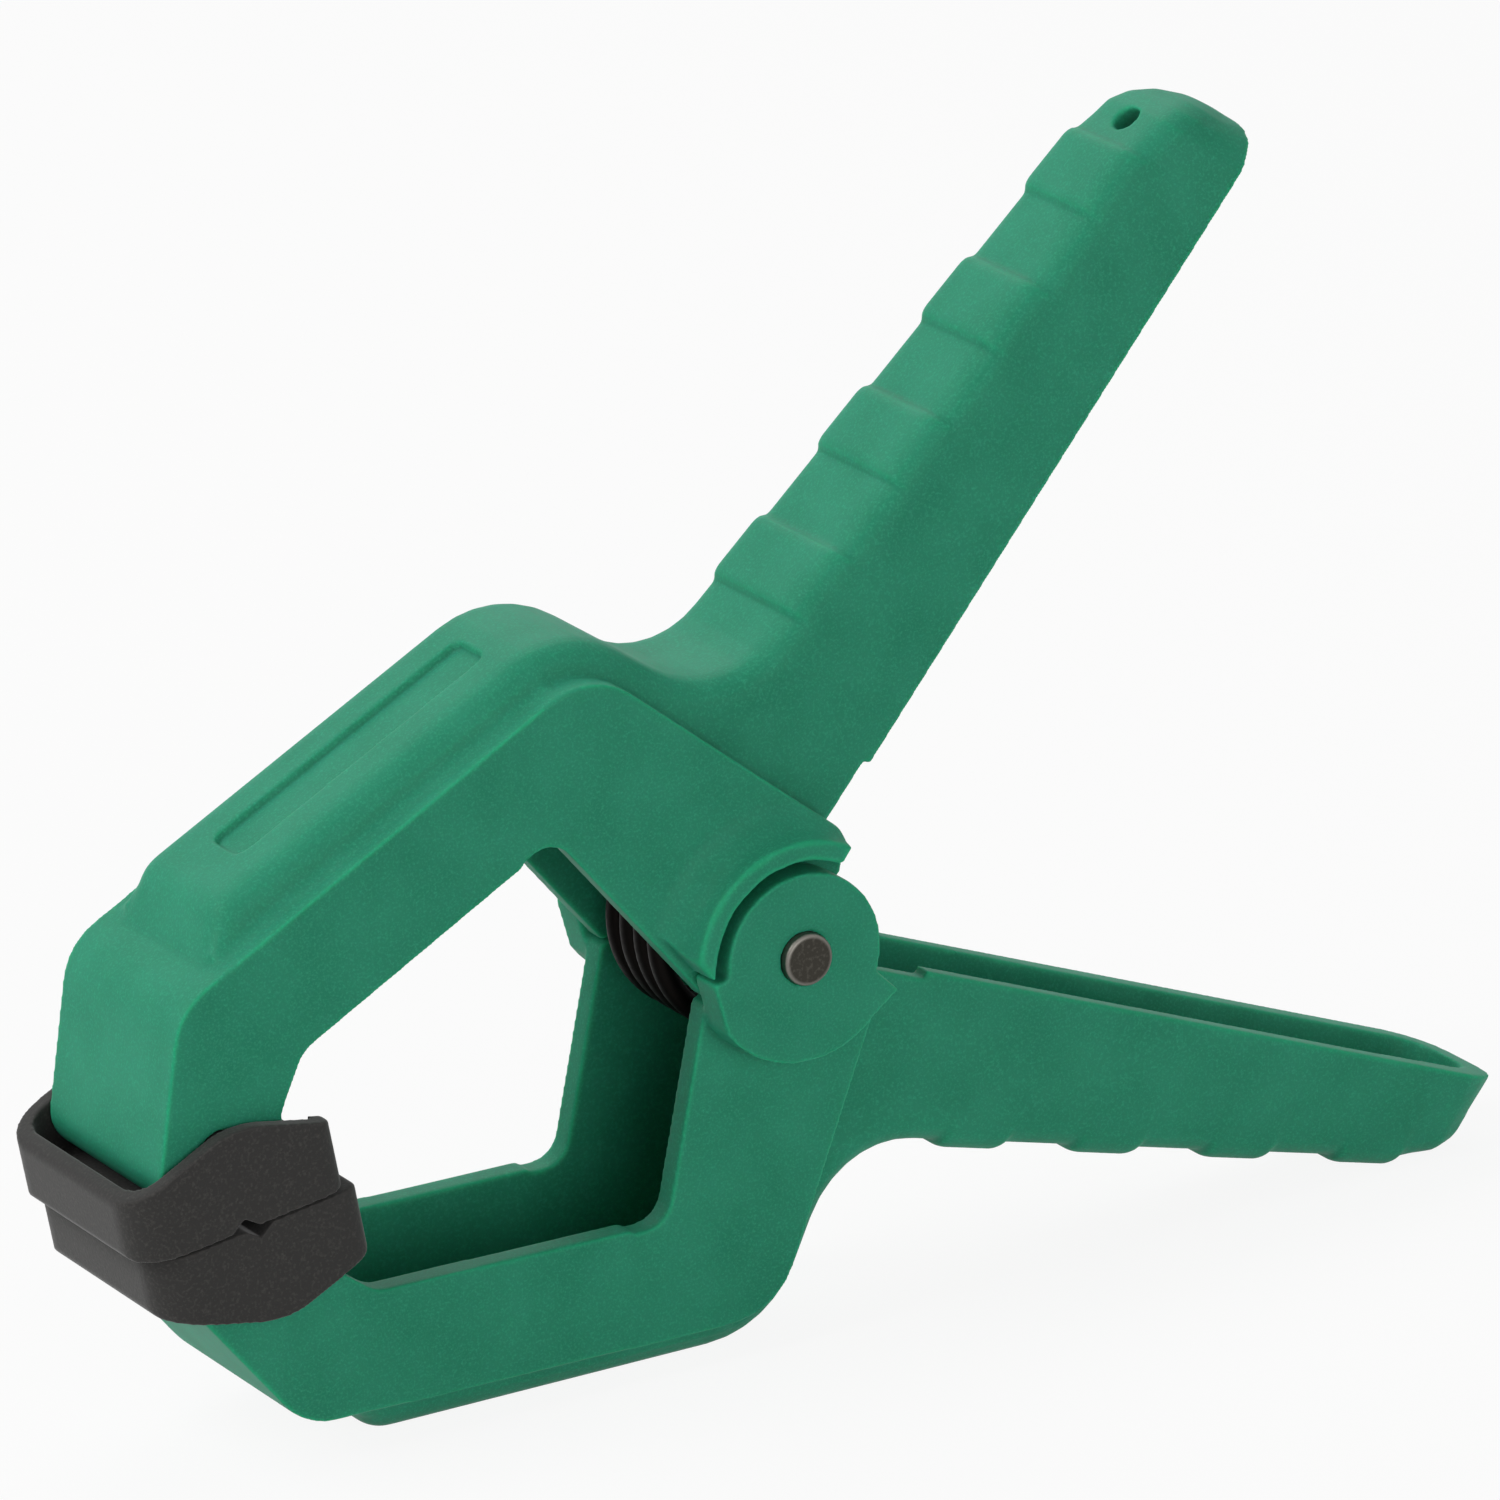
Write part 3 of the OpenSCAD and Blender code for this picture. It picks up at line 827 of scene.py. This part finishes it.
@dataclass
class TorsionSpring:
    """Wire wound round the pin, whose two straight legs push the handles apart."""

    place: Matrix
    wire_radius: float = 1.3 * MM
    coil_radius: float = 10.9 * MM
    pitch: float = 3.08 * MM
    windings: int = 4
    leg_slope: float = math.radians(38.3)
    leg_length: float = 48.7 * MM
    tip_round: float = 0.25 * MM
    wire_sides: int = 20
    steps_a_turn: int = 72

    def build(self, material: bpy.types.Material) -> bpy.types.Object:
        """Spins the wire's section into the coil and draws out both legs.

        Args:
            material: The spring's material.

        Returns:
            The finished piece.
        """
        sweep = 2 * math.pi * self.windings - 2 * (math.pi / 2 + self.leg_slope)
        climb = self.pitch * sweep / (2 * math.pi)
        steps = round(sweep / (2 * math.pi) * self.steps_a_turn)
        section = (
            Matrix.Rotation(-math.pi / 2 - self.leg_slope, 4, "Z")
            @ Matrix.Translation((self.coil_radius, 0, climb / 2))
            @ Matrix.Rotation(math.pi / 2, 4, "X")
        )
        bm = bmesh.new()
        bmesh.ops.create_circle(
            bm, cap_ends=False, radius=self.wire_radius, segments=self.wire_sides, matrix=section
        )
        first = list(bm.edges)
        wound = bmesh.ops.spin(
            bm,
            geom=list(bm.verts) + first,
            cent=(0, 0, 0),
            axis=(0, 0, 1),
            dvec=(0, 0, -climb / steps),
            angle=-sweep,
            steps=steps,
            use_merge=False,
        )
        last = [e for e in wound["geom_last"] if isinstance(e, bmesh.types.BMEdge)]
        self.draw_leg(bm, first, -1)
        self.draw_leg(bm, last, 1)
        bmesh.ops.recalc_face_normals(bm, faces=bm.faces)
        spring = piece_from(bm, "torsion_spring_wire", material, self.place)
        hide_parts("torsion_spring")
        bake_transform(spring)
        report(spring)
        return spring

    def draw_leg(self, bm: bmesh.types.BMesh, ring: list[bmesh.types.BMEdge], side: int) -> None:
        """Draws one straight leg out of an open end of the coil and closes its tip.

        Args:
            bm: The spring's mesh.
            ring: The edges of that open end.
            side: 1 for the upper leg and -1 for the lower one.
        """
        way = Vector((math.cos(self.leg_slope), side * math.sin(self.leg_slope), 0))
        drawn = bmesh.ops.extrude_edge_only(bm, edges=ring)
        moved = [v for v in drawn["geom"] if isinstance(v, bmesh.types.BMVert)]
        bmesh.ops.translate(bm, verts=moved, vec=way * self.leg_length)
        tip = [e for e in drawn["geom"] if isinstance(e, bmesh.types.BMEdge) and e.is_boundary]
        tip = [e for e in tip if all(v in moved for v in e.verts)]
        cap = bmesh.ops.contextual_create(bm, geom=tip)
        rim = [e for f in cap["faces"] for e in f.edges]
        bmesh.ops.bevel(
            bm,
            geom=rim,
            offset=self.tip_round,
            offset_type="OFFSET",
            affect="EDGES",
            segments=2,
            profile=0.5,
            material=-1,
        )


def seen_share(tree: bpy.types.NodeTree) -> bpy.types.NodeSocket:
    """Tells the rays by which a surface is seen from those that only light others.

    Args:
        tree: The node tree that takes the nodes.

    Returns:
        An output that is 1 for camera, glossy and transmission rays, and else 0.
    """
    ray = add_node(tree, "ShaderNodeLightPath").outputs
    seen = add_node(
        tree,
        "ShaderNodeMath",
        {0: ray["Is Camera Ray"], 1: ray["Is Glossy Ray"]},
        operation="MAXIMUM",
    )
    shown = add_node(
        tree,
        "ShaderNodeMath",
        {0: seen.outputs[0], 1: ray["Is Transmission Ray"]},
        operation="MAXIMUM",
    )
    return shown.outputs[0]


@dataclass
class Studio:
    """A pale floor, three soft lamps, a white surround and the camera."""

    pivot: Vector
    floor_colour: str = "#f0f0ef"
    floor_white: float = 0.9
    floor_half: float = 12.0
    floor_gap: float = 0.2 * MM
    ambient: float = 0.2
    distance: float = 1.333
    sensor_mm: float = 36.0
    view_depth: float = 50.0
    focal_px: float = 12000.0
    frame_px: float = 1500.0
    pivot_px: tuple[float, float] = (723.68, 912.92)
    back: tuple[float, float, float] = (-0.3626, -0.8217, 0.4397)
    right: tuple[float, float, float] = (0.8306, -0.4989, -0.2475)
    lamps: list[tuple[str, tuple[float, float, float], float, float]] = field(
        default_factory=lambda: [
            ("key_lamp", (-0.95, 0.1, 0.95), 0.8, 9.5),
            ("fill_lamp", (-0.1, -1.4, 0.24), 1.2, 8.4),
            ("back_lamp", (0.25, 0.8, 1.0), 0.9, 3.8),
        ]
    )

    def build(self) -> None:
        """Sets up everything that isn't the clamp."""
        self.lay_floor()
        self.hang_lamps()
        self.surround()
        self.place_camera()
        bpy.context.scene.view_settings.view_transform = "Standard"

    def lay_floor(self) -> None:
        """Lays a floor that looks nearly white and still takes the clamp's shadow."""
        material, tree = new_material("white_card")
        card = add_node(
            tree,
            "ShaderNodeBsdfPrincipled",
            {"Base Color": linear(self.floor_colour), "Roughness": 0.9, "Specular IOR Level": 0.1},
        )
        glow = add_node(
            tree, "ShaderNodeEmission", {"Color": (1.0, 1.0, 1.0, 1.0), "Strength": 1.0}
        )
        share = add_node(
            tree,
            "ShaderNodeMath",
            {0: seen_share(tree), 1: self.floor_white},
            operation="MULTIPLY",
        )
        surface = add_node(
            tree,
            "ShaderNodeMixShader",
            {0: share.outputs[0], 1: card.outputs[0], 2: glow.outputs[0]},
        )
        add_node(tree, "ShaderNodeOutputMaterial", {"Surface": surface.outputs[0]})
        bm = bmesh.new()
        bmesh.ops.create_grid(bm, x_segments=1, y_segments=1, size=self.floor_half)
        floor = piece_from(bm, "floor", material, Matrix.Translation((0, 0, -self.floor_gap)))

    def hang_lamps(self) -> None:
        """Hangs the soft lamps round the clamp, each facing it."""
        for name, offset, size, power in self.lamps:
            light = bpy.data.lights.new(name, "AREA")
            light.shape = "DISK"
            light.size = size
            light.energy = power
            lamp = bpy.data.objects.new(name, light)
            lamp.location = Vector(offset)
            lamp.rotation_euler = (self.pivot - lamp.location).to_track_quat("-Z", "Y").to_euler()
            bpy.context.collection.objects.link(lamp)

    def surround(self) -> None:
        """Makes the surround white to the eye and in reflections, and softer as a light."""
        world = bpy.data.worlds.new("surround")
        world.use_nodes = True
        bpy.context.scene.world = world
        tree = world.node_tree
        tree.nodes.clear()
        level = add_node(
            tree,
            "ShaderNodeMapRange",
            {"Value": seen_share(tree), "To Min": self.ambient, "To Max": 1.0},
        )
        background = add_node(
            tree,
            "ShaderNodeBackground",
            {"Color": (1.0, 1.0, 1.0, 1.0), "Strength": level.outputs[0]},
        )
        add_node(tree, "ShaderNodeOutputWorld", {"Surface": background.outputs[0]})

    def place_camera(self) -> None:
        """Places a long lens that looks down on the clamp from its front left."""
        lean = Matrix.Rotation(-STANCE, 3, "Y")
        back = (lean @ Vector(self.back)).normalized()
        right = (lean @ Vector(self.right)).normalized()
        up = back.cross(right).normalized()
        middle = self.frame_px / 2
        aim = (
            self.pivot
            + right * (self.distance * (middle - self.pivot_px[0]) / self.focal_px)
            + up * (self.distance * (self.pivot_px[1] - middle) / self.focal_px)
        )
        spot = self.pivot + back * self.distance
        away = (spot - aim).normalized()
        side = up.cross(away).normalized()
        turn = Matrix((side, away.cross(side), away)).transposed()
        data = bpy.data.cameras.new("camera")
        data.sensor_width = self.sensor_mm
        data.lens = data.sensor_width * self.focal_px / self.frame_px
        data.clip_end = self.view_depth
        camera = bpy.data.objects.new("camera", data)
        camera.matrix_world = Matrix.Translation(spot) @ turn.to_4x4()
        bpy.context.collection.objects.link(camera)
        bpy.context.scene.camera = camera


@dataclass
class SpringClamp:
    """The whole clamp: two levers, pin, spring and pads.

    Places on a lever are given in its plane, in which the pivot is the origin, the jaws
    point along -X and the lever lies above it. A zone's values are its radius and passes.
    """

    pivot: Vector
    grid: float = 0.3 * MM
    lever_passes: int = 8
    lever_keep: float = 0.31
    pad_grid_share: float = 0.8
    pad_passes: int = 5
    pad_keep: float = 0.6
    pad_edge_sink: float = 0.06 * MM

    # The label recess on the spine
    spine_slope: float = math.radians(13.8)
    spine_height: float = 47.0 * MM
    label_reach: tuple[float, float] = (-44.75 * MM, -9.25 * MM)
    label_half: float = 3.3 * MM
    label_depth: float = 0.5 * MM
    label_sink: float = 0.35 * MM
    label_margin: float = 1.3 * MM
    label_passes: int = 2

    # The ramp at the spine's front end, and its rounded corners
    arm_slope: float = math.radians(14.5)
    ramp_slope: float = math.radians(57)
    ramp_foot: tuple[float, float] = (-61.5 * MM, 29.87 * MM)
    ramp_core_half: float = 8.55 * MM
    ramp_round: float = 1.55 * MM
    ramp_height: float = 9.0 * MM
    ramp: tuple[tuple[float, float], ...] = ((-63.9 * MM, 28.4 * MM), (-61.5 * MM, 33.0 * MM))
    ramp_half: float = 9.9 * MM
    ramp_zone: tuple[float, int] = (3.6 * MM, 30)

    # Where the fillets beside the spine run out over the saddle
    saddle_end: tuple[float, float] = (-17.2 * MM, 40.1 * MM)
    saddle_half: float = 11.1 * MM
    saddle_zone: tuple[float, int] = (3.2 * MM, 30)

    # The rims over the ears
    rim_radius: float = 12.2 * MM
    rim_half: float = 17.6 * MM
    rim_foot_half: float = 14.5 * MM
    rim_angles: tuple[float, ...] = tuple(math.radians(a) for a in range(40, 191, 15))
    rim_zone: tuple[float, int] = (2.6 * MM, 16)
    beak_corner: tuple[float, float] = (10.3 * MM, 10.1 * MM)
    beak_zone: tuple[float, int] = (3.4 * MM, 24)

    def lever_plane(self) -> Matrix:
        """Gives the place of the plane in which pin and spring are drawn.

        Returns:
            The matrix from that plane, whose origin is the pivot, to the frame.
        """
        return (
            Matrix.Translation(self.pivot)
            @ Matrix.Rotation(-STANCE, 4, "Y")
            @ Matrix.Rotation(math.pi / 2, 4, "X")
        )

    def recess(self, place: Matrix) -> Recess:
        """Finds a lever's label recess.

        Args:
            place: The matrix from the lever's plane to the frame.

        Returns:
            The recess, whose length runs along the spine.
        """
        first, last = self.label_reach
        lean = place @ Matrix.Rotation(self.spine_slope, 4, "Z")
        middle = Matrix.Translation(((first + last) / 2, self.spine_height - self.label_depth, 0))
        return Recess(lean @ middle, (last - first) / 2, self.label_half, self.label_sink)

    def ramp_corners(self, place: Matrix) -> list[RoundedCorner]:
        """Finds the corners between the ramp and the spine's sides.

        Args:
            place: The matrix from the lever's plane to the frame.

        Returns:
            Both corners.
        """
        lean = Matrix.Rotation(self.ramp_slope - math.pi / 2, 4, "Z")
        found = []
        for side in (-1, 1):
            foot = Matrix.Translation((*self.ramp_foot, side * self.ramp_core_half))
            corner = place @ foot @ lean @ Matrix.Diagonal((-1, 1, side, 1))
            slope = self.ramp_slope - self.arm_slope
            found.append(RoundedCorner(corner, self.ramp_round, self.ramp_height, slope))
        return found

    def label_zone(self, place: Matrix) -> Zone:
        """Lays a crisp zone round a lever's label recess.

        Args:
            place: The matrix from the lever's plane to the frame.

        Returns:
            The zone.
        """
        recess = self.recess(place)
        half = recess.half_length
        first, last = [recess.place @ Vector((x, 0, 0)) for x in (-half, half)]
        return Zone(first, last, recess.half_width + self.label_margin, self.label_passes)

    def rim_zones(self, place: Matrix) -> list[Zone]:
        """Lays soft zones along the crests of both rims and round their beaks.

        Args:
            place: The matrix from the lever's plane to the frame.

        Returns:
            The zones.
        """
        crest = [Vector((math.cos(a), math.sin(a), 0)) * self.rim_radius for a in self.rim_angles]
        halves = (self.rim_foot_half, self.rim_half)
        zones = []
        for side in (-1, 1):
            top = [place @ (spot + Vector((0, 0, side * self.rim_half))) for spot in crest]
            zones += [Zone(a, b, *self.rim_zone) for a, b in zip(top[::2], top[2::2])]
            low, high = [place @ Vector((*self.beak_corner, side * half)) for half in halves]
            zones.append(Zone(low, high, *self.beak_zone))
        return zones

    def blends(self, place: Matrix) -> list[Zone]:
        """Lays zones where the fillets beside the spine end.

        Args:
            place: The matrix from the lever's plane to the frame.

        Returns:
            The zones, at the corners of the ramp and at the ends of the saddle.
        """
        zones = []
        for side in (-1, 1):
            low, high = [place @ Vector((*spot, side * self.ramp_half)) for spot in self.ramp]
            saddle = place @ Vector((*self.saddle_end, side * self.saddle_half))
            zones += [Zone(low, high, *self.ramp_zone), Zone(saddle, saddle, *self.saddle_zone)]
        return zones

    def lever(self, node: str, body: Body, side: int) -> MouldedSkin:
        """Plans the skin of a lever.

        Args:
            node: The lever's solid.
            body: The body it rides on.
            side: 1 for the upper lever and -1 for the lower one.

        Returns:
            The skin.
        """
        place = self.lever_plane() @ Matrix.Diagonal((1, side, 1, 1))
        rims = self.rim_zones(place) if side > 0 else []
        return MouldedSkin(
            node,
            body,
            Slot.NYLON,
            self.grid,
            passes=self.lever_passes,
            keep=self.lever_keep,
            zones=(self.label_zone(place), *rims),
            blends=tuple(self.blends(place)),
            carvings=(self.recess(place), *self.ramp_corners(place)),
        )

    def build(self, finishes: Finishes) -> list[bpy.types.Object]:
        """Builds every piece in the order of assembly.

        Args:
            finishes: The clamp's materials.

        Returns:
            The finished pieces.
        """
        place = self.lever_plane()
        pads = [
            MouldedSkin(
                node,
                body,
                Slot.PAD,
                self.grid * self.pad_grid_share,
                passes=self.pad_passes,
                keep=self.pad_keep,
                edge_sink=self.pad_edge_sink,
            )
            for node, body in (("upper_jaw_pad", Body.UPPER_PAD), ("lower_jaw_pad", Body.LOWER_PAD))
        ]
        return [
            self.lever("lower_lever", Body.LOWER, -1).build(finishes.nylon),
            TorsionSpring(place).build(finishes.wire),
            self.lever("upper_lever", Body.UPPER, 1).build(finishes.nylon),
            PivotPin(place).build(finishes.pin),
            *[pad.build(finishes.pad) for pad in pads],
        ]


def main() -> None:
    """Loads the frame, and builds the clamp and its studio."""
    logging.basicConfig(level=logging.INFO, format="%(message)s")
    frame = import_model()
    hinge = next(j for j in frame["joints"] if j["name"] == "jaw_hinge")
    pivot = Vector(hinge["pos_m"])
    finishes = Finishes(
        nylon=MouldedNylon().material(),
        pad=MouldedElastomer().material(),
        pin=BlackenedSteel().material(),
        # The wire's third colour is the painted highlight on its rims, kept faint
        wire=BlackenedSteel(
            "oil_tempered_wire", "#151312", "#24201f", "#1b1817", smoothest=0.5, roughest=0.65
        ).material(),
    )
    Studio(pivot).build()
    pieces = SpringClamp(pivot).build(finishes)
    LOG.info("%d pieces built", len(pieces))


if __name__ == "__main__":
    main()
